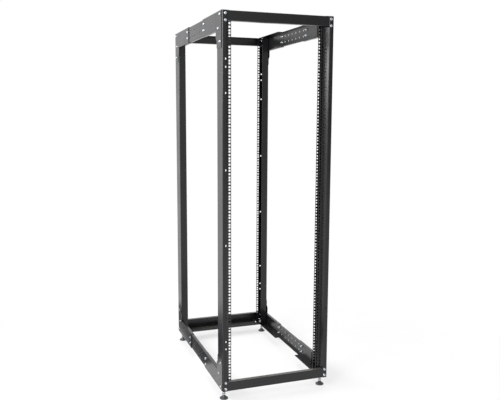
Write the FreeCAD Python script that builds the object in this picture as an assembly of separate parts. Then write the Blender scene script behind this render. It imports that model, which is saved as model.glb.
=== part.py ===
"""Four post open frame rack: folded steel posts, cross beams, three-piece side rails and levelling feet.

Units are millimetres. The origin is on the floor at the middle of the rack, +X is the right-hand side
seen from the front, +Y runs to the back and +Z is up. Every piece is drawn once for the front left
corner, then mirrored to the other corners.
"""
import FreeCAD, Part
import math
import os

Vector = FreeCAD.Vector

# ---- rack pattern: three square holes to a unit, in columns a standard distance apart ----------------
UNIT_HEIGHT = 44.45
UNIT_COUNT = 38
UNIT_HOLES = (UNIT_HEIGHT / 7, UNIT_HEIGHT / 2, UNIT_HEIGHT * 6 / 7)
SQUARE_HOLE = 9.5
COLUMN_SPACING = 465.1
COLUMN_EDGE = 7.55
COLUMN_INSET = 42.45
BACK_COLUMN_INSET = 33.0
BACK_SQUARE_HOLE = 7.0

# ---- folded sheet -----------------------------------------------------------------------------------
SHEET = 2.0
BEND_RADIUS = 1.0
POST_BEND_RADIUS = 2.0

# ---- overall frame ----------------------------------------------------------------------------------
RACK_DEPTH = 945.0
FOOT_HEIGHT = 50.0
END_ZONE = 45.95
RACK_WIDTH = COLUMN_SPACING + 2 * COLUMN_INSET
POST_HEIGHT = UNIT_HEIGHT * UNIT_COUNT + 2 * END_ZONE
POST_BOTTOM = FOOT_HEIGHT + SHEET + BEND_RADIUS
FRAME_HEIGHT = POST_HEIGHT + 2 * (SHEET + BEND_RADIUS)

# ---- posts ------------------------------------------------------------------------------------------
POST_DEPTH = 88.0
FACE_WIDTH = 22.0
JOGGLE_REACH = 9.0
MOUNT_RECESS = 29.35
BACK_FLANGE_WIDTH = 39.0
ACCESSORY_RADIUS = 4.5
ACCESSORY_INSET = 14.0
ACCESSORY_FROM_END = (212.0, 248.0, 364.0, 714.0)

# ---- cross beams ------------------------------------------------------------------------------------
BEAM_HEIGHT = 46.0
BEAM_FLANGE = 22.0
BEAM_TAB_HEIGHT = 62.0
BEAM_TAB_WIDTH = 14.0
BEAM_CLEARANCE = 0.3
NOTCH_CLEARANCE = 1.0
SILL_HEIGHT = 65.0
SILL_DEPTH = 72.0
SILL_LIP = 12.0
SILL_FOOT_CLEARANCE = 3.0

# ---- side rails -------------------------------------------------------------------------------------
RAIL_HEIGHT = 84.0
RAIL_FLANGE = 38.0
RAIL_INNER_FLANGE = 17.0
RAIL_END_LENGTH = 315.0
RAIL_SETBACK = 12.0
RAIL_NOTCH_GAP = 2.0
PLATE_REACH = 165.0
PLATE_MARGIN = 2.0
PLATE_ROUNDING = 8.0
SHOULDER_REACH = 12.0
SHOULDER_HEIGHT = 34.0
SHOULDER_SLOPE = 12.0
MIDDLE_OVERLAP = 147.0
MIDDLE_FLANGE = 15.0
MIDDLE_CLEARANCE = 0.3
RAIL_HOLE_RADIUS = 5.0
RAIL_HOLE_PITCH = 50.0
RAIL_HOLE_EDGE = 25.0
RAIL_HOLE_SPREAD = 31.0
RAIL_HOLE_COUNT = 6

# ---- levelling feet ---------------------------------------------------------------------------------
FOOT_INSET = 17.6
FOOT_SETBACK = 44.5
FOOT_RADIUS = 20.5
FOOT_RIM = 5.0
FOOT_DOME = 10.0
PAD_EDGE = 1.0
STUD_RADIUS = 5.0
STUD_CLEARANCE = 0.25
STUD_CHAMFER = 1.0
STUD_PROJECTION = 26.0
CONE_RADIUS = 11.0
CONE_NECK = 6.0
CONE_HEIGHT = 10.0
HEX_SIDES = 6
HEX_ACROSS_FLATS = 16.0
HEX_HEIGHT = 8.0


def folded_section(points, bend_radius=BEND_RADIUS):
    """Face of a folded sheet in the XY plane, from the middle line through its flats."""
    half = SHEET / 2
    middle_radius = bend_radius + half
    line = [Vector(x, y, 0) for x, y in points]
    sides = {1: [], -1: []}
    last = {}
    heading = (line[1] - line[0]).normalize()
    for side in sides:
        last[side] = line[0] + Vector(-heading.y, heading.x, 0) * side * half
    caps = [Part.makeLine(last[1], last[-1])]
    for corner, after in zip(line[1:-1], line[2:]):
        leaving = (after - corner).normalize()
        turn = math.copysign(1.0, heading.x * leaving.y - heading.y * leaving.x)
        setback = middle_radius * math.tan(heading.getAngle(leaving) / 2)
        start = corner - heading * setback
        end = corner + leaving * setback
        centre = start + Vector(-heading.y, heading.x, 0) * turn * middle_radius
        outward = (corner - centre).normalize()
        for side, edges in sides.items():
            radius = middle_radius - side * turn * half
            arc_start = start + Vector(-heading.y, heading.x, 0) * side * half
            arc_end = end + Vector(-leaving.y, leaving.x, 0) * side * half
            edges.append(Part.makeLine(last[side], arc_start))
            edges.append(Part.Arc(arc_start, centre + outward * radius, arc_end).toShape())
            last[side] = arc_end
        heading = leaving
    for side, edges in sides.items():
        tip = line[-1] + Vector(-heading.y, heading.x, 0) * side * half
        edges.append(Part.makeLine(last[side], tip))
        last[side] = tip
    caps.append(Part.makeLine(last[1], last[-1]))
    outline = Part.Wire(Part.__sortEdges__(sides[1] + sides[-1] + caps))
    return Part.Face(outline)


def along_x(section, start, length):
    """Extrude a section drawn as (Y, Z) along X."""
    turned = section.copy()
    turned.transformShape(FreeCAD.Matrix(0, 0, 1, start, 1, 0, 0, 0, 0, 1, 0, 0, 0, 0, 0, 1))
    return turned.extrude(Vector(length, 0, 0))


def along_y(section, start, length):
    """Extrude a section drawn as (X, Z) along Y."""
    turned = section.copy()
    turned.rotate(Vector(0, 0, 0), Vector(1, 0, 0), 90)
    turned.translate(Vector(0, start, 0))
    return turned.extrude(Vector(0, length, 0))


def box(x_range, y_range, z_range):
    """Upright box between three pairs of limits."""
    size = [high - low for low, high in (x_range, y_range, z_range)]
    return Part.makeBox(*size, Vector(x_range[0], y_range[0], z_range[0]))


def polygon(points):
    """Face through corner points."""
    return Part.Face(Part.makePolygon([*points, points[0]]))


def flip_height(shape):
    """Mirror a piece from the floor end of the frame to its top end."""
    middle = FOOT_HEIGHT + FRAME_HEIGHT / 2
    return shape.mirror(Vector(0, 0, middle), Vector(0, 0, 1))


def place(shape, right=False, rear=False):
    """Move a front left piece from its corner coordinates to one corner of the rack."""
    placed = shape.copy()
    placed.translate(Vector(-RACK_WIDTH / 2, -RACK_DEPTH / 2, 0))
    if right:
        placed = placed.mirror(Vector(0, 0, 0), Vector(1, 0, 0))
    if rear:
        placed = placed.mirror(Vector(0, 0, 0), Vector(0, 1, 0))
    return placed


def export(name, shape):
    """Write one named piece as a single solid."""
    solid = shape.removeSplitter()
    if solid.ShapeType != "Solid":
        solid = solid.Solids[0]
    solid.exportStep(os.path.join("parts", name + ".step"))


# ---- posts ------------------------------------------------------------------------------------------
def hole_column(inset, face_depth, hole):
    """Square holes of one column, cut through a flange whose front is at the given depth."""
    half = hole / 2
    first_unit = POST_BOTTOM + END_ZONE
    units = [first_unit + unit * UNIT_HEIGHT for unit in range(UNIT_COUNT)]
    heights = [unit + offset for unit in units for offset in UNIT_HOLES]
    across = (inset - half, inset + half)
    through = (face_depth - SHEET / 2, face_depth + SHEET * 3 / 2)
    return Part.makeCompound([box(across, through, (z - half, z + half)) for z in heights])


def accessory_holes():
    """Round holes in the front face near both ends."""
    heights = [*ACCESSORY_FROM_END, *(POST_HEIGHT - reach for reach in ACCESSORY_FROM_END)]
    starts = [Vector(ACCESSORY_INSET, -SHEET / 2, POST_BOTTOM + height) for height in heights]
    holes = [Part.makeCylinder(ACCESSORY_RADIUS, 2 * SHEET, start, Vector(0, 1, 0)) for start in starts]
    return Part.makeCompound(holes)


def beam_notch(low, high):
    """Gap in the slanted wall between front face and mounting flange, where a cross beam passes."""
    across = (FACE_WIDTH - SHEET - POST_BEND_RADIUS, FACE_WIDTH + JOGGLE_REACH)
    return box(across, (SHEET, SHEET + BEAM_FLANGE + NOTCH_CLEARANCE), (low, high))


def post(lower_beam_height, perforated_back):
    """One joggled post: back flange, outer web, front face, slanted wall and mounting flange."""
    half = SHEET / 2
    back_depth = POST_DEPTH - SHEET
    path = [
        (BACK_FLANGE_WIDTH, back_depth + half),
        (half, back_depth + half),
        (half, half),
        (FACE_WIDTH - half, half),
        (FACE_WIDTH - half + JOGGLE_REACH, MOUNT_RECESS + half),
        (COLUMN_INSET + COLUMN_EDGE, MOUNT_RECESS + half),
    ]
    section = folded_section(path, POST_BEND_RADIUS)
    section.translate(Vector(0, 0, POST_BOTTOM))
    body = section.extrude(Vector(0, 0, POST_HEIGHT))
    beam_gap = BEAM_CLEARANCE - BEND_RADIUS + NOTCH_CLEARANCE
    top = POST_BOTTOM + POST_HEIGHT
    cuts = [
        beam_notch(POST_BOTTOM - SHEET, POST_BOTTOM + lower_beam_height + beam_gap),
        beam_notch(top - BEAM_HEIGHT - beam_gap, top + SHEET),
        hole_column(COLUMN_INSET, MOUNT_RECESS, SQUARE_HOLE),
        accessory_holes(),
    ]
    if perforated_back:
        cuts.append(hole_column(BACK_COLUMN_INSET, back_depth, BACK_SQUARE_HOLE))
    for cut in cuts:
        body = body.cut(cut)
    return body


# ---- cross beams ------------------------------------------------------------------------------------
def beam_base():
    """Height of the lower beams' underside."""
    return FOOT_HEIGHT + SHEET + BEAM_CLEARANCE


def beam_ends():
    """Start and length of a beam between the posts' outer webs."""
    start = SHEET + POST_BEND_RADIUS
    return start, RACK_WIDTH - 2 * start


def beam():
    """Channel behind the posts' front faces, with flat, tall end tabs for two bolts each."""
    half = SHEET / 2
    low = beam_base()
    high = low + BEAM_HEIGHT
    web = SHEET + half
    path = [
        (SHEET + BEAM_FLANGE, low + half),
        (web, low + half),
        (web, high - half),
        (SHEET + BEAM_FLANGE, high - half),
    ]
    start, length = beam_ends()
    body = along_x(folded_section(path), start, length)
    flange_start = FACE_WIDTH - SHEET
    relief = box((0, flange_start), (2 * SHEET, 2 * SHEET + BEAM_FLANGE), (low - SHEET, high + SHEET))
    tab = box((start, start + BEAM_TAB_WIDTH), (SHEET, 2 * SHEET), (high - 2 * SHEET, low + BEAM_TAB_HEIGHT))
    far_relief, far_tab = (
        piece.mirror(Vector(RACK_WIDTH / 2, 0, 0), Vector(1, 0, 0)) for piece in (relief, tab)
    )
    return body.cut(relief).cut(far_relief).fuse([tab, far_tab])


def rear_sill():
    """Deeper lower rear beam, with a wide bottom flange notched round post and foot, and an upturned lip."""
    half = SHEET / 2
    low = beam_base()
    high = low + SILL_HEIGHT
    web = SHEET + half
    lip = SHEET + SILL_DEPTH - half
    path = [
        (SHEET + BEAM_FLANGE, high - half),
        (web, high - half),
        (web, low + half),
        (lip, low + half),
        (lip, low + SILL_LIP),
    ]
    start, length = beam_ends()
    body = along_x(folded_section(path), start, length)
    heights = (low - SHEET, low + SILL_LIP + SHEET)
    post_side = COLUMN_INSET + COLUMN_EDGE + NOTCH_CLEARANCE
    post_depth = MOUNT_RECESS + SHEET + NOTCH_CLEARANCE
    foot_side = FOOT_INSET + hexagon_corner() + SILL_FOOT_CLEARANCE
    beside_post = box((0, post_side), (2 * SHEET, post_depth), heights)
    beside_foot = box((0, foot_side), (2 * SHEET, lip + SHEET), heights)
    relief = beside_post.fuse(beside_foot)
    far_relief = relief.mirror(Vector(RACK_WIDTH / 2, 0, 0), Vector(1, 0, 0))
    return body.cut(relief).cut(far_relief)


# ---- side rails -------------------------------------------------------------------------------------
def gusset_plate():
    """Flat part of an end piece that laps the post's web, shouldered beside the rail."""
    low = FOOT_HEIGHT
    high = low + RAIL_HEIGHT
    tip = low + PLATE_REACH
    front = RAIL_SETBACK
    back = POST_DEPTH - PLATE_MARGIN
    shoulder = POST_DEPTH + SHOULDER_REACH
    step = high + SHOULDER_HEIGHT
    corners = [
        (front, high - RAIL_HEIGHT / 2),
        (shoulder, high - RAIL_HEIGHT / 2),
        (shoulder, step),
        (back, step + SHOULDER_SLOPE),
        (back, tip),
        (front, tip),
    ]
    plate = polygon([Vector(-SHEET, y, z) for y, z in corners]).extrude(Vector(SHEET, 0, 0))
    top_edges = [edge for edge in plate.Edges if edge.BoundBox.ZMin > tip - SHEET]
    across = [edge for edge in top_edges if edge.BoundBox.YLength < SHEET]
    return plate.makeFillet(PLATE_ROUNDING, across)


def rail_end(stud_hole):
    """End piece of a side rail: channel with a wide outer flange and a gusset plate up the post's web."""
    half = SHEET / 2
    low = FOOT_HEIGHT
    high = low + RAIL_HEIGHT
    wide_edge = RAIL_FLANGE - SHEET
    inner_edge = RAIL_INNER_FLANGE - SHEET
    path = [(wide_edge, low + half), (-half, low + half), (-half, high - half), (inner_edge, high - half)]
    body = along_y(folded_section(path), RAIL_SETBACK, RAIL_END_LENGTH)
    notch = box((0, RAIL_FLANGE), (0, POST_DEPTH + RAIL_NOTCH_GAP), (high - 2 * SHEET, high + SHEET))
    body = body.cut(notch).fuse(gusset_plate())
    if stud_hole:
        start = Vector(FOOT_INSET, FOOT_SETBACK, low - SHEET)
        body = body.cut(Part.makeCylinder(STUD_RADIUS + STUD_CLEARANCE, 3 * SHEET, start))
    return body


def rail_middle():
    """Narrow channel nested inside the two end pieces, with two rows of adjustment holes."""
    half = SHEET / 2
    gap = SHEET + MIDDLE_CLEARANCE
    low = FOOT_HEIGHT + gap
    high = FOOT_HEIGHT + RAIL_HEIGHT - gap
    web = MIDDLE_CLEARANCE + half
    path = [(MIDDLE_FLANGE, low + half), (web, low + half), (web, high - half), (MIDDLE_FLANGE, high - half)]
    start = RAIL_SETBACK + RAIL_END_LENGTH - MIDDLE_OVERLAP
    body = along_y(folded_section(path), start, RACK_DEPTH - 2 * start)
    first = RACK_DEPTH / 2 - RAIL_HOLE_PITCH * (RAIL_HOLE_COUNT - 1) / 2
    rows = (FOOT_HEIGHT + RAIL_HOLE_EDGE, FOOT_HEIGHT + RAIL_HOLE_EDGE + RAIL_HOLE_SPREAD)
    places = [first + RAIL_HOLE_PITCH * step for step in range(RAIL_HOLE_COUNT)]
    centres = [Vector(-SHEET, place_y, row) for place_y in places for row in rows]
    holes = [Part.makeCylinder(RAIL_HOLE_RADIUS, 3 * SHEET, centre, Vector(1, 0, 0)) for centre in centres]
    return body.cut(Part.makeCompound(holes))


# ---- levelling feet ---------------------------------------------------------------------------------
def turned(profile):
    """Solid of revolution about the foot's stud, from (radius, height) corners."""
    axis_points = [Vector(FOOT_INSET + radius, FOOT_SETBACK, z) for radius, z in profile]
    axis = Vector(FOOT_INSET, FOOT_SETBACK, 0)
    return polygon(axis_points).revolve(axis, Vector(0, 0, 1), 360)


def foot_base():
    """Round pad with a domed top."""
    profile = [
        (0, 0),
        (FOOT_RADIUS - PAD_EDGE, 0),
        (FOOT_RADIUS, PAD_EDGE),
        (FOOT_RADIUS, FOOT_RIM),
        (CONE_RADIUS, FOOT_DOME),
        (0, FOOT_DOME),
    ]
    return turned(profile)


def hexagon_corner():
    """Distance from the stud's axis to a corner of its hexagons."""
    return HEX_ACROSS_FLATS / 2 / math.cos(math.pi / HEX_SIDES)


def hexagon(bottom, height):
    """Hexagonal prism on the stud's axis."""
    side_turn = 2 * math.pi / HEX_SIDES
    corner = hexagon_corner()
    points = [
        Vector(
            FOOT_INSET + corner * math.cos(side_turn * step),
            FOOT_SETBACK + corner * math.sin(side_turn * step),
            bottom,
        )
        for step in range(HEX_SIDES)
    ]
    return polygon(points).extrude(Vector(0, 0, height))


def foot_stud():
    """Swivel cone, wrench hexagon and threaded stud, drawn plain."""
    neck = FOOT_DOME + CONE_HEIGHT
    tip = FOOT_HEIGHT + SHEET + STUD_PROJECTION
    profile = [
        (0, FOOT_DOME),
        (CONE_RADIUS, FOOT_DOME),
        (CONE_NECK, neck),
        (STUD_RADIUS, neck),
        (STUD_RADIUS, tip - STUD_CHAMFER),
        (STUD_RADIUS - STUD_CHAMFER, tip),
        (0, tip),
    ]
    return turned(profile).fuse(hexagon(neck, HEX_HEIGHT))


def foot_nut():
    """Lock nut on top of the rail's bottom flange."""
    bottom = FOOT_HEIGHT + SHEET
    start = Vector(FOOT_INSET, FOOT_SETBACK, bottom - SHEET)
    bore = Part.makeCylinder(STUD_RADIUS, HEX_HEIGHT + 2 * SHEET, start)
    return hexagon(bottom, HEX_HEIGHT).cut(bore)


# ---- assembly ---------------------------------------------------------------------------------------
def build():
    """Build every piece once and write it at each place where the rack has it."""
    os.makedirs("parts", exist_ok=True)
    front_post = post(BEAM_HEIGHT, perforated_back=True)
    rear_post = post(SILL_HEIGHT, perforated_back=False)
    lower_end = rail_end(stud_hole=True)
    upper_end = flip_height(rail_end(stud_hole=False))
    lower_middle = rail_middle()
    upper_middle = flip_height(lower_middle)
    foot_pieces = {"base": foot_base(), "stud": foot_stud(), "nut": foot_nut()}
    for side, right in (("left", False), ("right", True)):
        for end, rear in (("front", False), ("rear", True)):
            export(f"post_{end}_{side}", place(rear_post if rear else front_post, right, rear))
            export(f"rail_{side}_lower_{end}", place(lower_end, right, rear))
            export(f"rail_{side}_upper_{end}", place(upper_end, right, rear))
            for piece, shape in foot_pieces.items():
                export(f"foot_{end}_{side}_{piece}", place(shape, right, rear))
        export(f"rail_{side}_lower_middle", place(lower_middle, right))
        export(f"rail_{side}_upper_middle", place(upper_middle, right))
    lower_beam = beam()
    upper_beam = flip_height(lower_beam)
    export("beam_front_lower", place(lower_beam))
    export("beam_front_upper", place(upper_beam))
    export("beam_rear_upper", place(upper_beam, rear=True))
    export("beam_rear_lower", place(rear_sill(), rear=True))


build()
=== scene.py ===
"""Four post open frame rack: black powder coated sheet steel, bright zinc fasteners and levelling feet.

The folded posts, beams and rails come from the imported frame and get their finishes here. Bolts, nuts
and the detailed levelling feet are new pieces. Lengths are metres, and sizes given as millimetres carry
the suffix _mm. The origin is on the floor at the middle of the rack, +X is the right-hand side seen
from the front, +Y runs to the back and +Z is up.
"""

import logging
import math
from dataclasses import dataclass, field
from enum import Enum
from typing import Any, Optional, Sequence

import bpy
import numpy as np
from mathutils import Matrix, Vector

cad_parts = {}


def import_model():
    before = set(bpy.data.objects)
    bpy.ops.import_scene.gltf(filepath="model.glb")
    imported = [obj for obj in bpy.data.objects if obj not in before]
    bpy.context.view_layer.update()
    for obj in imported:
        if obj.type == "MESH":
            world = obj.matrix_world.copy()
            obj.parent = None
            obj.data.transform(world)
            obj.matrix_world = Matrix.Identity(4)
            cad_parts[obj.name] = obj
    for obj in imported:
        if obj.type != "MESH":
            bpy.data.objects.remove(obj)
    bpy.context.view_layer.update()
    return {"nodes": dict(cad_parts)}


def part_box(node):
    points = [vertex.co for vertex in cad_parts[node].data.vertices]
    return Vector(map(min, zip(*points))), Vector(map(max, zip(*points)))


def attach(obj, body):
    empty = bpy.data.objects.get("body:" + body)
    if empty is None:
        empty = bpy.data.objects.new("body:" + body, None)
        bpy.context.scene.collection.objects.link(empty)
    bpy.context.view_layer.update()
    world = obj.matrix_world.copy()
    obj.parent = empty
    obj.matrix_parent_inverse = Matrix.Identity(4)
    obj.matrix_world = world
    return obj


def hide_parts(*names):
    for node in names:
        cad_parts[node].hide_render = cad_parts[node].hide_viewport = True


LOG = logging.getLogger("open_frame_rack")
MM = 0.001
TURN = 2 * math.pi
SHARP_ANGLE = math.radians(32)
CHAMFER_SLOPE = math.tan(math.radians(30))
WHITE = "#ffffff"


# ---- enumerations --------------------------------------------------------------------------------
class Side(Enum):
    """Left or right of the rack, with the sign of X."""

    LEFT = -1
    RIGHT = 1


class End(Enum):
    """Front or rear of the rack, with the sign of Y."""

    FRONT = -1
    REAR = 1


class Level(Enum):
    """Lower or upper end of the frame, with the sign of Z seen from its middle."""

    LOWER = -1
    UPPER = 1


# ---- colour and nodes ----------------------------------------------------------------------------
def linear(colour: str) -> tuple[float, float, float, float]:
    """Turn an sRGB hex colour to the linear values that sockets take.

    Args:
        colour: Colour as "#rrggbb".

    Returns:
        Red, green, blue and an alpha of one, linear.
    """
    channels = np.array([int(colour[start : start + 2], 16) for start in (1, 3, 5)]) / 255
    low = channels / 12.92
    high = ((channels + 0.055) / 1.055) ** 2.4
    red, green, blue = np.where(channels <= 0.04045, low, high).tolist()
    return red, green, blue, 1.0


def add_node(
    tree: bpy.types.NodeTree,
    kind: str,
    settings: Optional[dict[str, Any]] = None,
    values: Optional[dict[Any, Any]] = None,
    links: Optional[dict[Any, bpy.types.NodeSocket]] = None,
) -> bpy.types.Node:
    """Add one node with its settings, constant inputs and incoming links.

    Args:
        tree: Node tree of a material or the world.
        kind: Blender's identifier of the node type.
        settings: Properties of the node.
        values: Constant value for each named or numbered input.
        links: Output socket that feeds each named or numbered input.

    Returns:
        The new node.
    """
    node = tree.nodes.new(kind)
    for name, value in (settings or {}).items():
        setattr(node, name, value)
    for name, value in (values or {}).items():
        node.inputs[name].default_value = value
    for name, socket in (links or {}).items():
        tree.links.new(socket, node.inputs[name])
    return node


def new_material(name: str) -> tuple[bpy.types.Material, bpy.types.NodeTree]:
    """Make an empty node material.

    Args:
        name: Name of the finish.

    Returns:
        The material and its node tree, without nodes.
    """
    material = bpy.data.materials.new(name)
    material.use_nodes = True
    material.node_tree.nodes.clear()
    return material, material.node_tree


# ---- finishes ------------------------------------------------------------------------------------
@dataclass(frozen=True)
class PowderCoat:
    """Semi-gloss black polyester powder coat, sprayed dry and baked on sheet steel.

    The eye gets a near-black film that mirrors pale surroundings at a low angle, a fine orange peel,
    gloss that drifts a little from panel to panel and, on faces that look up, a pale grey that is partly
    dust and partly a painted highlight of the light from above.
    """

    name: str
    colour: str = "#0f1011"
    thin_colour: str = "#151618"
    dust_and_highlight_colour: str = "#8d8b86"
    roughness_low: float = 0.22
    roughness_high: float = 0.32
    peel_mm: float = 3.0
    peel_height_mm: float = 0.03
    drift_mm: float = 160.0
    fleck_mm: float = 7.0
    dust_and_highlight_share: float = 0.05

    def build(self) -> bpy.types.Material:
        """Make the material."""
        material, tree = new_material(self.name)
        place = add_node(tree, "ShaderNodeTexCoord").outputs["Object"]
        # Peel of a real coat is 1 to 3 mm across, and the upper end of that is drawn so that it shows.
        peel = add_node(
            tree,
            "ShaderNodeTexNoise",
            values={"Scale": 1 / (self.peel_mm * MM), "Detail": 2.0, "Roughness": 0.45},
            links={"Vector": place},
        )
        drift = add_node(
            tree,
            "ShaderNodeTexNoise",
            values={"Scale": 1 / (self.drift_mm * MM), "Detail": 3.0, "Roughness": 0.55},
            links={"Vector": place},
        )
        fleck = add_node(
            tree,
            "ShaderNodeTexNoise",
            values={"Scale": 1 / (self.fleck_mm * MM), "Detail": 4.0, "Roughness": 0.65},
            links={"Vector": place},
        )
        blend = add_node(
            tree,
            "ShaderNodeMath",
            settings={"operation": "MULTIPLY"},
            links={0: drift.outputs["Fac"], 1: fleck.outputs["Fac"]},
        )
        film = add_node(
            tree,
            "ShaderNodeMix",
            settings={"data_type": "RGBA"},
            values={6: linear(self.colour), 7: linear(self.thin_colour)},
            links={0: blend.outputs["Value"]},
        )
        # Faces that look up turn towards a pale grey in flecks: partly dust, partly a painted highlight of
        # the light from above.
        facing = add_node(tree, "ShaderNodeNewGeometry").outputs["Normal"]
        height = add_node(tree, "ShaderNodeSeparateXYZ", links={"Vector": facing}).outputs["Z"]
        upward = add_node(
            tree,
            "ShaderNodeMapRange",
            values={"From Min": 0.6, "From Max": 1.0, "To Min": 0.0, "To Max": 2 * self.dust_and_highlight_share},
            links={"Value": height},
        )
        dust_and_highlight = add_node(
            tree,
            "ShaderNodeMath",
            settings={"operation": "MULTIPLY"},
            links={0: upward.outputs["Result"], 1: fleck.outputs["Fac"]},
        )
        colour = add_node(
            tree,
            "ShaderNodeMix",
            settings={"data_type": "RGBA"},
            values={7: linear(self.dust_and_highlight_colour)},
            links={0: dust_and_highlight.outputs["Value"], 6: film.outputs[2]},
        )
        gloss = add_node(
            tree,
            "ShaderNodeMapRange",
            values={
                "From Min": 0.3,
                "From Max": 0.7,
                "To Min": self.roughness_low,
                "To Max": self.roughness_high,
            },
            links={"Value": drift.outputs["Fac"]},
        )
        bump = add_node(
            tree,
            "ShaderNodeBump",
            values={"Strength": 0.5, "Distance": self.peel_height_mm * MM},
            links={"Height": peel.outputs["Fac"]},
        )
        shader = add_node(
            tree,
            "ShaderNodeBsdfPrincipled",
            values={"Metallic": 0.0, "IOR": 1.5},
            links={
                "Base Color": colour.outputs[2],
                "Roughness": gloss.outputs["Result"],
                "Normal": bump.outputs["Normal"],
            },
        )
        add_node(tree, "ShaderNodeOutputMaterial", links={"Surface": shader.outputs["BSDF"]})
        return material


@dataclass(frozen=True)
class ZincPlate:
    """Bright zinc electroplate with a clear blue passivation, on turned and cold-headed steel.

    The eye gets a cool, bright metal with a slightly milky sheen and faint blue and grey clouds.
    """

    name: str
    colour: str = "#cdd2d8"
    cloud_colour: str = "#b9bfc8"
    roughness_low: float = 0.24
    roughness_high: float = 0.42
    cloud_mm: float = 5.0
    grain_mm: float = 0.8
    grain_height_mm: float = 0.01

    def build(self) -> bpy.types.Material:
        """Make the material."""
        material, tree = new_material(self.name)
        place = add_node(tree, "ShaderNodeTexCoord").outputs["Object"]
        cloud = add_node(
            tree,
            "ShaderNodeTexNoise",
            values={"Scale": 1 / (self.cloud_mm * MM), "Detail": 3.0, "Roughness": 0.6},
            links={"Vector": place},
        )
        grain = add_node(
            tree,
            "ShaderNodeTexNoise",
            values={"Scale": 1 / (self.grain_mm * MM), "Detail": 2.0},
            links={"Vector": place},
        )
        colour = add_node(
            tree,
            "ShaderNodeMix",
            settings={"data_type": "RGBA"},
            values={6: linear(self.colour), 7: linear(self.cloud_colour)},
            links={0: cloud.outputs["Fac"]},
        )
        sheen = add_node(
            tree,
            "ShaderNodeMapRange",
            values={
                "From Min": 0.3,
                "From Max": 0.7,
                "To Min": self.roughness_low,
                "To Max": self.roughness_high,
            },
            links={"Value": cloud.outputs["Fac"]},
        )
        bump = add_node(
            tree,
            "ShaderNodeBump",
            values={"Strength": 0.4, "Distance": self.grain_height_mm * MM},
            links={"Height": grain.outputs["Fac"]},
        )
        shader = add_node(
            tree,
            "ShaderNodeBsdfPrincipled",
            values={"Metallic": 1.0},
            links={
                "Base Color": colour.outputs[2],
                "Roughness": sheen.outputs["Result"],
                "Normal": bump.outputs["Normal"],
            },
        )
        add_node(tree, "ShaderNodeOutputMaterial", links={"Surface": shader.outputs["BSDF"]})
        return material


@dataclass(frozen=True)
class MouldedNylon:
    """Black glass-filled nylon, injection moulded.

    The eye gets a dark grey-black plastic with a soft shine and a fine spark-eroded mould texture.
    """

    name: str
    colour: str = "#434445"
    scuff_colour: str = "#5a5b5b"
    roughness: float = 0.34
    texture_mm: float = 0.9
    texture_height_mm: float = 0.03
    scuff_mm: float = 6.0

    def build(self) -> bpy.types.Material:
        """Make the material."""
        material, tree = new_material(self.name)
        place = add_node(tree, "ShaderNodeTexCoord").outputs["Object"]
        texture = add_node(
            tree,
            "ShaderNodeTexNoise",
            values={"Scale": 1 / (self.texture_mm * MM), "Detail": 2.0},
            links={"Vector": place},
        )
        scuff = add_node(
            tree,
            "ShaderNodeTexNoise",
            values={"Scale": 1 / (self.scuff_mm * MM), "Detail": 4.0, "Roughness": 0.7},
            links={"Vector": place},
        )
        share = add_node(
            tree,
            "ShaderNodeMapRange",
            values={"From Min": 0.5, "From Max": 0.8, "To Min": 0.0, "To Max": 0.6},
            links={"Value": scuff.outputs["Fac"]},
        )
        colour = add_node(
            tree,
            "ShaderNodeMix",
            settings={"data_type": "RGBA"},
            values={6: linear(self.colour), 7: linear(self.scuff_colour)},
            links={0: share.outputs["Result"]},
        )
        bump = add_node(
            tree,
            "ShaderNodeBump",
            values={"Strength": 0.5, "Distance": self.texture_height_mm * MM},
            links={"Height": texture.outputs["Fac"]},
        )
        shader = add_node(
            tree,
            "ShaderNodeBsdfPrincipled",
            values={"Metallic": 0.0, "IOR": 1.53, "Roughness": self.roughness},
            links={"Base Color": colour.outputs[2], "Normal": bump.outputs["Normal"]},
        )
        add_node(tree, "ShaderNodeOutputMaterial", links={"Surface": shader.outputs["BSDF"]})
        return material


# ---- surfaces ------------------------------------------------------------------------------------
@dataclass
class Patch:
    """A closed surface as whole arrays: points (n, 3) and faces as index rows of three or four."""

    points: np.ndarray
    quads: np.ndarray
    triangles: np.ndarray = field(default_factory=lambda: np.empty((0, 3), int))

    def moved(self, place: Sequence[float], axis: Sequence[float]) -> "Patch":
        """Stand the patch on a point, with its own Z turned to an axis.

        The new point is place + x u + y v + z n, where n is the axis, u is straight up, or +X for an
        upright axis, and v is n x u, which keeps the frame right-handed.

        Args:
            place: Where the patch's own origin goes.
            axis: Unit vector that its Z turns to.

        Returns:
            The patch in its place.
        """
        normal = np.array(axis, float)
        across = np.array((1.0, 0.0, 0.0) if abs(normal[2]) > 0.5 else (0.0, 0.0, 1.0))
        basis = np.stack([across, np.cross(normal, across), normal])
        return Patch(self.points @ basis + np.array(place, float), self.quads, self.triangles)


def angles(steps: int) -> np.ndarray:
    """Evenly spaced angles round a full turn, in radians."""
    return np.arange(steps) * TURN / steps


def hexagon_radius(turn: np.ndarray, across_flats: float) -> np.ndarray:
    """Distance from the centre of a hexagon to its side at an angle.

    With a corner at angle zero, the side is at half the width across flats divided by the cosine of
    the angle to the middle of that side: r = (s / 2) / cos((t mod 60 deg) - 30 deg).

    Args:
        turn: Angles in radians.
        across_flats: Width across flats.

    Returns:
        One radius for each angle.
    """
    sixth = TURN / 6
    return across_flats / 2 / np.cos(np.mod(turn, sixth) - sixth / 2)


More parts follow.
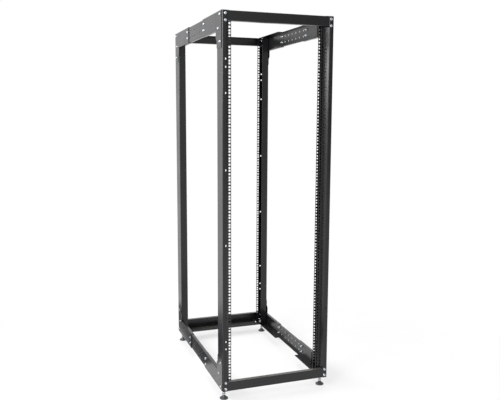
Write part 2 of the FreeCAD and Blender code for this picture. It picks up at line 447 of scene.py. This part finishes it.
def turned_surface(radii: np.ndarray, heights: np.ndarray, turn: np.ndarray, ring: bool) -> Patch:
    """Surface of rows round the Z axis: point (i, j) is (r_ij cos t_j, r_ij sin t_j, h_ij).

    Args:
        radii: Radius of each row at each angle.
        heights: Height of each row at each angle.
        turn: The angles.
        ring: True joins the last row to the first, and False closes both ends with a point on the
            axis at the height of the end row.

    Returns:
        The closed patch, its faces pointing outwards when the rows run up the outer side.
    """
    rows, steps = radii.shape
    points = np.stack([radii * np.cos(turn), radii * np.sin(turn), heights], axis=-1).reshape(-1, 3)
    column = np.arange(steps)
    after = (column + 1) % steps
    lower = np.arange(rows if ring else rows - 1)[:, None]
    upper = (lower + 1) % rows
    corners = (lower * steps + column, lower * steps + after, upper * steps + after, upper * steps + column)
    quads = np.stack(corners, axis=-1).reshape(-1, 4)
    if ring:
        return Patch(points, quads)
    poles = np.array([[0, 0, heights[0].mean()], [0, 0, heights[-1].mean()]])
    first, last = len(points), len(points) + 1
    top = (rows - 1) * steps
    bottom_fan = np.stack([np.full(steps, first), after, column], axis=-1)
    top_fan = np.stack([np.full(steps, last), top + column, top + after], axis=-1)
    return Patch(np.vstack([points, poles]), quads, np.vstack([bottom_fan, top_fan]))


def rows_of(profile: Sequence[tuple[Any, Any]], turn: np.ndarray) -> tuple[np.ndarray, np.ndarray]:
    """Spread a profile of (radius, height) pairs over all angles.

    Args:
        profile: Each entry is a number or an array with one value for each angle.
        turn: The angles.

    Returns:
        The arrays of radii and of heights, one row for each pair.
    """
    radii = np.stack([np.broadcast_to(radius, turn.shape) for radius, _ in profile])
    heights = np.stack([np.broadcast_to(height, turn.shape) for _, height in profile])
    return radii.astype(float), heights.astype(float)


def thread_rows(
    radius: float, pitch: float, depth: float, low: float, high: float, turn: np.ndarray
) -> tuple[np.ndarray, np.ndarray]:
    """Rows of a right-hand screw thread between two heights.

    The radius is R - d w, where w is a triangle wave of the height in pitches less the angle in
    turns: w = 2 |frac(z / p - t / 2 pi) - 1/2|. Both ends run out in a chamfer of one depth.

    Args:
        radius: Radius over the crests.
        pitch: Rise of one turn.
        depth: Depth of the thread.
        low: Lowest height.
        high: Highest height.
        turn: The angles.

    Returns:
        The arrays of radii and heights.
    """
    samples_per_pitch = 4
    count = max(3, round((high - low) / pitch * samples_per_pitch) + 1)
    height = np.broadcast_to(np.linspace(low, high, count)[:, None], (count, turn.size))
    phase = height / pitch - turn[None, :] / TURN
    wave = 2 * np.abs(phase - np.floor(phase) - 0.5)
    radii = radius - depth * wave
    run_out = np.minimum(radii, radius - depth + (high - height))
    return run_out, height.copy()


def make_piece(
    name: str, patches: Sequence[Patch], material: bpy.types.Material
) -> bpy.types.Object:
    """Put patches into one mesh object that rides on the frame.

    Args:
        name: Name of the piece.
        patches: Closed surfaces, already in place.
        material: Finish of the piece.

    Returns:
        The new object.
    """
    starts = np.cumsum([0, *(len(patch.points) for patch in patches[:-1])])
    points = np.vstack([patch.points for patch in patches])
    quads = np.vstack([patch.quads + start for patch, start in zip(patches, starts)])
    triangles = np.vstack([patch.triangles + start for patch, start in zip(patches, starts)])
    mesh = bpy.data.meshes.new(name)
    mesh.from_pydata(points.tolist(), [], quads.tolist() + triangles.tolist())
    mesh.shade_smooth()
    mesh.set_sharp_from_angle(angle=SHARP_ANGLE)
    mesh.materials.append(material)
    mesh.update()
    piece = bpy.data.objects.new(name, mesh)
    bpy.context.scene.collection.objects.link(piece)
    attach(piece, "root")
    LOG.info("%s: %d faces", name, len(mesh.polygons))
    return piece


# ---- fasteners -----------------------------------------------------------------------------------
@dataclass(frozen=True)
class FlangeBolt:
    """M6 hexagon flange bolt with a flange nut on its far end."""

    thread_radius: float = 3.0 * MM
    pitch: float = 1.0 * MM
    thread_depth: float = 0.5 * MM
    across_flats: float = 10.0 * MM
    flange_radius: float = 6.4 * MM
    flange_rim: float = 1.1 * MM
    flange_slope: float = 1.0 * MM
    flange_edge: float = 0.3 * MM
    fillet: float = 0.4 * MM
    head_height: float = 4.8 * MM
    dish_radius: float = 3.0 * MM
    dish_depth: float = 0.6 * MM
    nut_height: float = 5.6 * MM
    countersink: float = 0.5 * MM
    tail: float = 4.0 * MM
    tail_overlap: float = 0.4 * MM
    chamfer: float = 0.45 * MM
    steps: int = 36

    def collar(self, turn: np.ndarray, top: float) -> list[tuple[Any, Any]]:
        """Profile of flange and hexagon up to the chamfered edge of the top face.

        The chamfer is a cone of 30 degrees, so the wall of the hexagon ends lower the further it is
        from the axis: z = top - (r - r0) tan 30 deg, where r0 is the radius of the top face.

        Args:
            turn: The angles.
            top: Height of the top face.

        Returns:
            Pairs of radius and height, from the seat upwards.
        """
        wall = hexagon_radius(turn, self.across_flats)
        face = self.across_flats / 2 - self.chamfer
        shoulder = self.flange_rim + self.flange_slope
        return [
            (self.flange_radius - self.flange_edge, 0.0),
            (self.flange_radius, self.flange_edge),
            (self.flange_radius, self.flange_rim),
            (wall + self.fillet, shoulder),
            (wall, shoulder + self.fillet),
            (wall, top - (wall - face) * CHAMFER_SLOPE),
            (face, top),
        ]

    def head(self, phase: float) -> Patch:
        """Head of the bolt on its seat, with a shallow dish in its top.

        Args:
            phase: Angle that the hexagon is turned by.

        Returns:
            The closed surface, its seat at height zero.
        """
        turn = angles(self.steps)
        profile = [
            *self.collar(turn, self.head_height),
            (self.dish_radius, self.head_height),
            (self.dish_radius - self.dish_depth, self.head_height - self.dish_depth),
        ]
        radii, heights = rows_of(profile, turn)
        return turned_surface(radii, heights, turn + phase, ring=False)

    def nut(self, phase: float) -> Patch:
        """Flange nut with the bolt's threaded tail standing out of it.

        Args:
            phase: Angle that the hexagon is turned by.

        Returns:
            The closed surface, its seat at height zero.
        """
        turn = angles(self.steps)
        mouth = self.thread_radius + self.countersink
        profile = [
            *self.collar(turn, self.nut_height),
            (mouth, self.nut_height),
            (self.thread_radius - self.thread_depth, self.nut_height - self.countersink),
        ]
        radii, heights = rows_of(profile, turn)
        thread_radii, thread_heights = thread_rows(
            self.thread_radius,
            self.pitch,
            self.thread_depth,
            self.nut_height - self.tail_overlap,
            self.nut_height + self.tail,
            turn,
        )
        radii = np.vstack([radii, thread_radii])
        heights = np.vstack([heights, thread_heights])
        return turned_surface(radii, heights, turn + phase, ring=False)


@dataclass(frozen=True)
class BoltPlace:
    """One bolt through two sheets: the middle of its head's seat, its outward axis and its grip."""

    seat: tuple[float, float, float]
    axis: tuple[float, float, float]
    grip: float


@dataclass(frozen=True)
class Corner:
    """One corner of the frame, which turns distances from its outer faces into places."""

    side: Side
    end: End
    level: Level
    half_width: float
    half_depth: float
    bottom: float
    top: float

    def point(self, inward: float, deep: float, up: float) -> tuple[float, float, float]:
        """Place at distances from the post's outer web, its outer face and the frame's end.

        Args:
            inward: Distance from the post's outer web towards the middle of the rack.
            deep: Distance from the post's outer face towards the middle of the rack.
            up: Distance from the frame's lower or upper end.

        Returns:
            The place.
        """
        height = self.bottom + up if self.level is Level.LOWER else self.top - up
        across = self.side.value * (self.half_width - inward)
        along = self.end.value * (self.half_depth - deep)
        return across, along, height

    @property
    def name(self) -> str:
        """Words for the corner, in the order of the frame's own names."""
        return f"{self.side.name}_{self.level.name}_{self.end.name}".lower()


@dataclass
class Fasteners:
    """All bolts of the frame: two at each beam end, three at each plate and two at each lap."""

    corners: Sequence[Corner]
    material: bpy.types.Material
    bolt: FlangeBolt = field(default_factory=FlangeBolt)
    sheet: float = 2.0 * MM
    lap_gap: float = 0.3 * MM
    beam_inset: float = 14.0 * MM
    beam_heights: tuple[float, float] = (16.2 * MM, 46.4 * MM)
    plate_places: tuple[tuple[float, float], ...] = (
        (32.0 * MM, 17.0 * MM),
        (60.0 * MM, 76.0 * MM),
        (32.0 * MM, 137.0 * MM),
    )
    lap_setback: float = 307.0 * MM
    lap_heights: tuple[float, float] = (25.0 * MM, 56.0 * MM)
    seed: int = 11

    def __post_init__(self) -> None:
        """Start the seeded generator that turns each hexagon differently."""
        self.random = np.random.default_rng(self.seed)

    def patches(self, places: Sequence[BoltPlace]) -> list[Patch]:
        """Heads and nuts for a group of bolts.

        Args:
            places: The bolts of the group.

        Returns:
            Two closed surfaces for each bolt.
        """
        made = []
        for bolt_place in places:
            axis = np.array(bolt_place.axis)
            seat = np.array(bolt_place.seat)
            head_turn, nut_turn = self.random.uniform(0, TURN / 6, 2)
            made.append(self.bolt.head(head_turn).moved(seat, axis))
            made.append(self.bolt.nut(nut_turn).moved(seat - axis * bolt_place.grip, -axis))
        return made

    def beam_bolts(self, corner: Corner) -> list[BoltPlace]:
        """Bolts through a post's outer face and the beam behind it."""
        axis = (0.0, float(corner.end.value), 0.0)
        return [
            BoltPlace(corner.point(self.beam_inset, 0.0, up), axis, 2 * self.sheet)
            for up in self.beam_heights
        ]

    def plate_bolts(self, corner: Corner) -> list[BoltPlace]:
        """Bolts through an end piece's gusset plate and the post's outer web."""
        axis = (float(corner.side.value), 0.0, 0.0)
        return [
            BoltPlace(corner.point(-self.sheet, deep, up), axis, 2 * self.sheet)
            for deep, up in self.plate_places
        ]

    def lap_bolts(self, corner: Corner) -> list[BoltPlace]:
        """Bolts where an end piece laps the middle piece of a side rail."""
        axis = (float(corner.side.value), 0.0, 0.0)
        return [
            BoltPlace(corner.point(-self.sheet, self.lap_setback, up), axis, 2 * self.sheet + self.lap_gap)
            for up in self.lap_heights
        ]

    def build(self) -> list[bpy.types.Object]:
        """Make one piece for each beam's bolts, each plate's and each lap's."""
        made = []
        for end in End:
            for level in Level:
                group = [corner for corner in self.corners if (corner.end, corner.level) == (end, level)]
                places = [bolt_place for corner in group for bolt_place in self.beam_bolts(corner)]
                name = f"bolts_beam_{end.name}_{level.name}".lower()
                made.append(make_piece(name, self.patches(places), self.material))
        for corner in self.corners:
            plate = self.patches(self.plate_bolts(corner))
            made.append(make_piece(f"bolts_plate_{corner.name}", plate, self.material))
            lap = self.patches(self.lap_bolts(corner))
            made.append(make_piece(f"bolts_lap_{corner.name}", lap, self.material))
        return made


# ---- levelling feet ------------------------------------------------------------------------------
@dataclass
class LevellingFoot:
    """One foot under a rail: moulded pad and cone, stud with wrench hexagon, and lock nut."""

    end: End
    side: Side
    pad_material: bpy.types.Material
    metal: bpy.types.Material
    steps: int = 48
    cone_radius: float = 11.0 * MM
    cone_neck: float = 6.0 * MM
    cone_height: float = 10.0 * MM
    hexagon_height: float = 8.0 * MM
    across_flats: float = 16.0 * MM
    chamfer: float = 0.7 * MM
    thread_radius: float = 5.0 * MM
    pitch: float = 1.5 * MM
    thread_depth: float = 0.8 * MM
    thread_gap: float = 0.2 * MM
    countersink: float = 0.6 * MM
    rim_height: float = 5.0 * MM
    groove: float = 1.2 * MM
    cone_edge: tuple[float, float] = (0.5 * MM, 0.4 * MM)
    cone_foot: float = 0.8 * MM
    cone_flare: float = 1.6
    cone_rows: int = 6

    @property
    def prefix(self) -> str:
        """Start of the names of this foot's nodes."""
        return f"foot_{self.end.name}_{self.side.name}".lower()

    def stand(self, node: str) -> tuple[float, float, float]:
        """Middle of the underside of one of the foot's nodes."""
        low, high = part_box(node)
        return (low.x + high.x) / 2, (low.y + high.y) / 2, low.z

    def tall(self, node: str) -> float:
        """Height of one of the foot's nodes."""
        low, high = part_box(node)
        return high.z - low.z

    def make(self, part: str, form: str, patch: Patch, plastic: bool = False) -> bpy.types.Object:
        """Put a patch in the place of a node and hide that node.

        Args:
            part: The last word of the node's name.
            form: What the patch shows of the node.
            patch: The surface, its foot at height zero on the stud's axis.
            plastic: True for the pad's nylon, False for plated steel.

        Returns:
            The piece.
        """
        node = f"{self.prefix}_{part}"
        material, slot = (self.pad_material, "foot_pad") if plastic else (self.metal, "zinc")
        placed = patch.moved(self.stand(node), (0.0, 0.0, 1.0))
        piece = make_piece(f"{node}_{form}", [placed], material)
        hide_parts(node)
        return piece

    def hexagon_rows(self, turn: np.ndarray, low: float, high: float) -> list[tuple[Any, Any]]:
        """Profile of a hexagon whose two faces are chamfered by cones of 30 degrees.

        Args:
            turn: The angles.
            low: Height of the lower face.
            high: Height of the upper face.

        Returns:
            Pairs of radius and height, from the lower face's edge to the upper one's.
        """
        wall = hexagon_radius(turn, self.across_flats)
        face = self.across_flats / 2 - self.chamfer
        drop = (wall - face) * CHAMFER_SLOPE
        return [(face, low), (wall, low + drop), (wall, high - drop), (face, high)]

    def pad(self) -> bpy.types.Object:
        """Round pad with a rolled rim, a groove round its dome and a lip under the cone."""
        node = f"{self.prefix}_base"
        low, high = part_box(node)
        radius = (high.x - low.x) / 2
        top = self.tall(node)
        rim = self.rim_height
        turn = angles(self.steps)
        # Up the rounded lower edge, over the rolled rim, down into the groove and up the dome.
        profile = [
            (radius - 1.0 * MM, 0.0),
            (radius - 0.3 * MM, 0.3 * MM),
            (radius, 1.0 * MM),
            (radius, rim - 1.2 * MM),
            (radius - 0.4 * MM, rim - 0.4 * MM),
            (radius - 1.4 * MM, rim),
            (radius - 2.4 * MM, rim + 0.1 * MM),
            (radius - 3.0 * MM, rim + 0.1 * MM - self.groove / 2),
            (radius - 3.8 * MM, rim + 0.4 * MM),
            ((radius + self.cone_radius) / 2, (rim + top) / 2 + 0.5 * MM),
            (self.cone_radius + 1.2 * MM, top),
            (self.cone_radius - 0.6 * MM, top),
        ]
        radii, heights = rows_of(profile, turn)
        patch = turned_surface(radii, heights, turn, ring=False)
        return self.make("base", "detail", patch, plastic=True)

    def cone(self) -> bpy.types.Object:
        """Black moulded cone that swivels on the pad and carries the stud.

        Its side is hollow: r = r1 + (r0 - r1) (1 - u)^k, where u runs from foot to neck, r0 and r1
        are the radii there and k is the flare.
        """
        turn = angles(self.steps)
        rise = self.cone_height - self.cone_foot
        spread = self.cone_radius - self.cone_neck
        side = [
            (self.cone_neck + spread * (1 - share) ** self.cone_flare, self.cone_foot + rise * share)
            for share in np.linspace(0, 1, self.cone_rows)
        ]
        inset, edge = self.cone_edge
        profile = [(self.cone_radius - inset, 0.0), (self.cone_radius, edge), *side]
        radii, heights = rows_of(profile, turn)
        patch = turned_surface(radii, heights, turn, ring=False)
        return self.make("stud", "cone", patch, plastic=True)

    def stud(self) -> bpy.types.Object:
        """Wrench hexagon and threaded stud above the cone, as one turned piece of steel."""
        node = f"{self.prefix}_stud"
        turn = angles(self.steps)
        tip = self.tall(node)
        hexagon_top = self.cone_height + self.hexagon_height
        profile = [
            *self.hexagon_rows(turn, self.cone_height, hexagon_top),
            (self.thread_radius - self.thread_depth, hexagon_top),
        ]
        radii, heights = rows_of(profile, turn)
        thread_start = hexagon_top + self.thread_gap
        thread = thread_rows(self.thread_radius, self.pitch, self.thread_depth, thread_start, tip, turn)
        radii = np.vstack([radii, thread[0]])
        heights = np.vstack([heights, thread[1]])
        patch = turned_surface(radii, heights, turn, ring=False)
        return self.make("stud", "detail", patch)

    def nut(self) -> bpy.types.Object:
        """Hexagon lock nut, chamfered on both faces and countersunk at its bore."""
        tall = self.tall(f"{self.prefix}_nut")
        turn = angles(self.steps)
        mouth = self.thread_radius + self.countersink
        profile = [
            (self.thread_radius, self.countersink),
            (mouth, 0.0),
            *self.hexagon_rows(turn, 0.0, tall),
            (mouth, tall),
            (self.thread_radius, tall - self.countersink),
        ]
        radii, heights = rows_of(profile, turn)
        patch = turned_surface(radii, heights, turn, ring=True)
        return self.make("nut", "detail", patch)

    def build(self) -> list[bpy.types.Object]:
        """Make the foot's four pieces."""
        return [self.pad(), self.cone(), self.stud(), self.nut()]


# ---- frame ---------------------------------------------------------------------------------------
@dataclass
class CoatedFrame:
    """Posts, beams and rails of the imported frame, each family in its own batch of powder coat."""

    nodes: dict[str, bpy.types.Object]
    post_coat: PowderCoat = PowderCoat("black_powder_coat_posts")
    # The beams get more pale grey on their upward faces: partly dust, partly painted highlight.
    beam_coat: PowderCoat = PowderCoat("black_powder_coat_beams", dust_and_highlight_share=0.26)
    rail_coat: PowderCoat = PowderCoat("black_powder_coat_rails")

    def dress(self) -> None:
        """Give every post, beam and rail its coat."""
        coats = {
            "post_": self.post_coat.build(),
            "beam_": self.beam_coat.build(),
            "rail_": self.rail_coat.build(),
        }
        for name, node in sorted(self.nodes.items()):
            for prefix, material in coats.items():
                if name.startswith(prefix):
                    node.data.materials.clear()
                    node.data.materials.append(material)
                    LOG.info("%s: %s", name, material.name)

    def corners(self) -> list[Corner]:
        """The eight corners of the frame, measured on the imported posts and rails."""
        post_low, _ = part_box("post_front_left")
        rail_low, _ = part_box("rail_left_lower_front")
        _, rail_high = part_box("rail_left_upper_front")
        return [
            Corner(side, end, level, abs(post_low.x), abs(post_low.y), rail_low.z, rail_high.z)
            for side in Side
            for level in Level
            for end in End
        ]


# ---- studio --------------------------------------------------------------------------------------
@dataclass
class Studio:
    """Pale floor, white surroundings, soft lamps, a dark card that paints a dark reflection, and the
    camera.
    """

    camera_place: tuple[float, float, float] = (-1.1117, -3.2233, 1.3685)
    yaw: float = 19.42
    pitch: float = 7.62
    roll: float = 0.22
    lens: float = 45.32
    sensor_width: float = 36.0
    clip_start: float = 0.05
    clip_end: float = 60.0
    floor_colour: str = "#f7f7f6"
    surround_level: float = 0.55
    dim_axis: tuple[float, float, float] = (0.958, -0.287, 0.0)
    dim_start: float = 0.46
    dim_end: float = 0.70
    dim_level: float = 0.22
    floor_radius: float = 9.0
    floor_steps: int = 96
    floor_rings: int = 6
    floor_glow: float = 0.6
    fade_start: float = 0.5
    fade_end: float = 1.7
    floor_drop: float = 0.4 * MM
    dark_reflection_colour: str = "#4c4c50"
    card_corners: tuple[tuple[float, float], ...] = (
        (-0.30, 0.0),
        (-0.80, 0.15),
        (-0.70, 0.85),
        (-0.36, 1.25),
    )
    card_height: float = 2.0 * MM

    def camera(self) -> None:
        """Make the camera from its place, its yaw to the right of +Y, its pitch down and its roll."""
        yaw, pitch, roll = np.radians([self.yaw, self.pitch, self.roll])
        ahead = Vector((math.sin(yaw) * math.cos(pitch), math.cos(yaw) * math.cos(pitch), -math.sin(pitch)))
        level = Vector((math.cos(yaw), -math.sin(yaw), 0.0))
        upward = level.cross(ahead)
        right = level * math.cos(roll) + upward * math.sin(roll)
        up = right.cross(ahead)
        data = bpy.data.cameras.new("studio_camera")
        data.lens = self.lens
        data.sensor_width = self.sensor_width
        data.clip_start = self.clip_start
        data.clip_end = self.clip_end
        camera = bpy.data.objects.new("studio_camera", data)
        turned = Matrix((right, up, -ahead)).transposed().to_4x4()
        camera.matrix_world = Matrix.Translation(self.camera_place) @ turned
        bpy.context.scene.collection.objects.link(camera)
        bpy.context.scene.camera = camera

    def seen_rays(self, tree: bpy.types.NodeTree) -> bpy.types.NodeSocket:
        """One for rays that show the background: camera, glossy and transmission rays."""
        path = add_node(tree, "ShaderNodeLightPath").outputs
        shown = add_node(
            tree,
            "ShaderNodeMath",
            settings={"operation": "MAXIMUM"},
            links={0: path["Is Camera Ray"], 1: path["Is Glossy Ray"]},
        )
        both = add_node(
            tree,
            "ShaderNodeMath",
            settings={"operation": "MAXIMUM"},
            links={0: shown.outputs["Value"], 1: path["Is Transmission Ray"]},
        )
        return both.outputs["Value"]

    def reflected_level(self, tree: bpy.types.NodeTree) -> bpy.types.NodeSocket:
        """Brightness of the surroundings in reflections: white, but dim behind the camera to the right.

        The level falls along a straight line with the cosine between the ray and the dim side's axis.

        Args:
            tree: Node tree of the world.

        Returns:
            The output that carries the level.
        """
        ray = add_node(tree, "ShaderNodeTexCoord").outputs["Generated"]
        cosine = add_node(
            tree,
            "ShaderNodeVectorMath",
            settings={"operation": "DOT_PRODUCT"},
            values={1: self.dim_axis},
            links={0: ray},
        )
        level = add_node(
            tree,
            "ShaderNodeMapRange",
            values={
                "From Min": self.dim_start,
                "From Max": self.dim_end,
                "To Min": 1.0,
                "To Max": self.dim_level,
            },
            links={"Value": cosine.outputs["Value"]},
        )
        return level.outputs["Result"]

    def world(self) -> None:
        """White surroundings that light the rack at a plain level."""
        world = bpy.data.worlds.new("white_studio")
        world.use_nodes = True
        tree = world.node_tree
        tree.nodes.clear()
        light = add_node(
            tree,
            "ShaderNodeBackground",
            values={"Color": linear(WHITE), "Strength": self.surround_level},
        )
        reflected = add_node(
            tree,
            "ShaderNodeBackground",
            values={"Color": linear(WHITE)},
            links={"Strength": self.reflected_level(tree)},
        )
        white = add_node(
            tree, "ShaderNodeBackground", values={"Color": linear(WHITE), "Strength": 1.0}
        )
        glossy = add_node(tree, "ShaderNodeLightPath").outputs["Is Glossy Ray"]
        lighting = add_node(
            tree,
            "ShaderNodeMixShader",
            links={0: self.seen_rays(tree), 1: light.outputs[0], 2: white.outputs[0]},
        )
        mixed = add_node(
            tree,
            "ShaderNodeMixShader",
            links={0: glossy, 1: lighting.outputs[0], 2: reflected.outputs[0]},
        )
        add_node(tree, "ShaderNodeOutputWorld", links={"Surface": mixed.outputs[0]})
        bpy.context.scene.world = world

    def floor_material(self) -> bpy.types.Material:
        """Matt pale floor that fades into the white surroundings away from the rack."""
        material, tree = new_material("pale_studio_floor")
        place = add_node(tree, "ShaderNodeTexCoord").outputs["Object"]
        distance = add_node(
            tree, "ShaderNodeVectorMath", settings={"operation": "LENGTH"}, links={0: place}
        )
        fade = add_node(
            tree,
            "ShaderNodeMapRange",
            settings={"interpolation_type": "SMOOTHSTEP"},
            values={
                "From Min": self.fade_start,
                "From Max": self.fade_end,
                "To Min": self.floor_glow,
                "To Max": 1.0,
            },
            links={"Value": distance.outputs["Value"]},
        )
        share = add_node(
            tree,
            "ShaderNodeMath",
            settings={"operation": "MULTIPLY"},
            links={0: fade.outputs["Result"], 1: self.seen_rays(tree)},
        )
        matt = add_node(
            tree,
            "ShaderNodeBsdfDiffuse",
            values={"Color": linear(self.floor_colour), "Roughness": 0.0},
        )
        white = add_node(
            tree, "ShaderNodeEmission", values={"Color": linear(WHITE), "Strength": 1.0}
        )
        mixed = add_node(
            tree,
            "ShaderNodeMixShader",
            links={0: share.outputs["Value"], 1: matt.outputs[0], 2: white.outputs[0]},
        )
        add_node(tree, "ShaderNodeOutputMaterial", links={"Surface": mixed.outputs[0]})
        return material

    def floor(self) -> None:
        """Round floor: rows of points at growing distance from its middle."""
        turn = angles(self.floor_steps)
        distances = np.linspace(self.floor_radius / self.floor_rings, self.floor_radius, self.floor_rings)
        radii, heights = rows_of([(distance, -self.floor_drop) for distance in distances[::-1]], turn)
        disc = turned_surface(radii, heights, turn, ring=False)
        mesh = bpy.data.meshes.new("studio_floor")
        keep = disc.triangles[len(turn) :]
        mesh.from_pydata(disc.points.tolist(), [], disc.quads.tolist() + keep.tolist())
        mesh.materials.append(self.floor_material())
        mesh.update()
        floor = bpy.data.objects.new("studio_floor", mesh)
        bpy.context.scene.collection.objects.link(floor)

    def card(self) -> None:
        """Dark card on the floor at the left, seen only in reflections, that paints a dark reflection into
        the lower left rail and post.
        """
        material, tree = new_material("dark_studio_card")
        matt = add_node(tree, "ShaderNodeBsdfDiffuse", values={"Color": linear(self.dark_reflection_colour)})
        add_node(tree, "ShaderNodeOutputMaterial", links={"Surface": matt.outputs[0]})
        mesh = bpy.data.meshes.new("studio_card")
        corners = [(*corner, self.card_height) for corner in self.card_corners]
        mesh.from_pydata(corners, [], [tuple(reversed(range(len(corners))))])
        mesh.materials.append(material)
        card = bpy.data.objects.new("studio_card", mesh)
        # Painted dark reflection: the card is hidden from camera, diffuse and shadow rays, so it only
        # darkens what glossy surfaces mirror.
        card.visible_camera = False
        card.visible_diffuse = False
        card.visible_shadow = False
        bpy.context.scene.collection.objects.link(card)

    def lamp(
        self,
        name: str,
        place: tuple[float, float, float],
        target: tuple[float, float, float],
        size: tuple[float, float],
        watts: float,
    ) -> None:
        """Hang one rectangular soft lamp.

        Args:
            name: Name of the lamp.
            place: Where it hangs.
            target: Where it points.
            size: Width and height of its face.
            watts: Its power.
        """
        data = bpy.data.lights.new(name, "AREA")
        data.shape = "RECTANGLE"
        data.size, data.size_y = size
        data.energy = watts
        lamp = bpy.data.objects.new(name, data)
        lamp.visible_camera = False
        aim = Vector(target) - Vector(place)
        turned = aim.to_track_quat("-Z", "Y").to_matrix().to_4x4()
        lamp.matrix_world = Matrix.Translation(place) @ turned
        bpy.context.scene.collection.objects.link(lamp)

    def lamps(self) -> None:
        """Large soft key from the upper left front, a weaker one from above and a long one at the left."""
        middle = (0.0, 0.0, 0.9)
        self.lamp("key_softbox", (-3.0, -2.6, 3.2), middle, (2.0, 2.0), 90.0)
        self.lamp("top_softbox", (0.0, 0.4, 4.2), middle, (2.4, 2.4), 60.0)
        self.lamp("left_softbox", (-2.2, 0.35, 2.15), (0.0, 0.35, 2.15), (2.8, 1.2), 60.0)

    def build(self) -> None:
        """Make camera, surroundings, floor and lamps."""
        self.camera()
        self.world()
        self.floor()
        self.card()
        self.lamps()
        bpy.context.scene.view_settings.view_transform = "Standard"
        LOG.info("studio: camera, floor, card, surroundings and lamps")


def main() -> None:
    """Load the frame, dress it, add fasteners and feet, and set the studio round it."""
    logging.basicConfig(level=logging.INFO, format="%(name)s: %(message)s")
    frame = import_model()
    studio = Studio()
    studio.build()
    coated = CoatedFrame(frame["nodes"])
    coated.dress()
    zinc = ZincPlate("bright_zinc_plate").build()
    nylon = MouldedNylon("black_moulded_nylon").build()
    Fasteners(coated.corners(), zinc).build()
    for end in End:
        for side in Side:
            LevellingFoot(end, side, nylon, zinc).build()


if __name__ == "__main__":
    main()
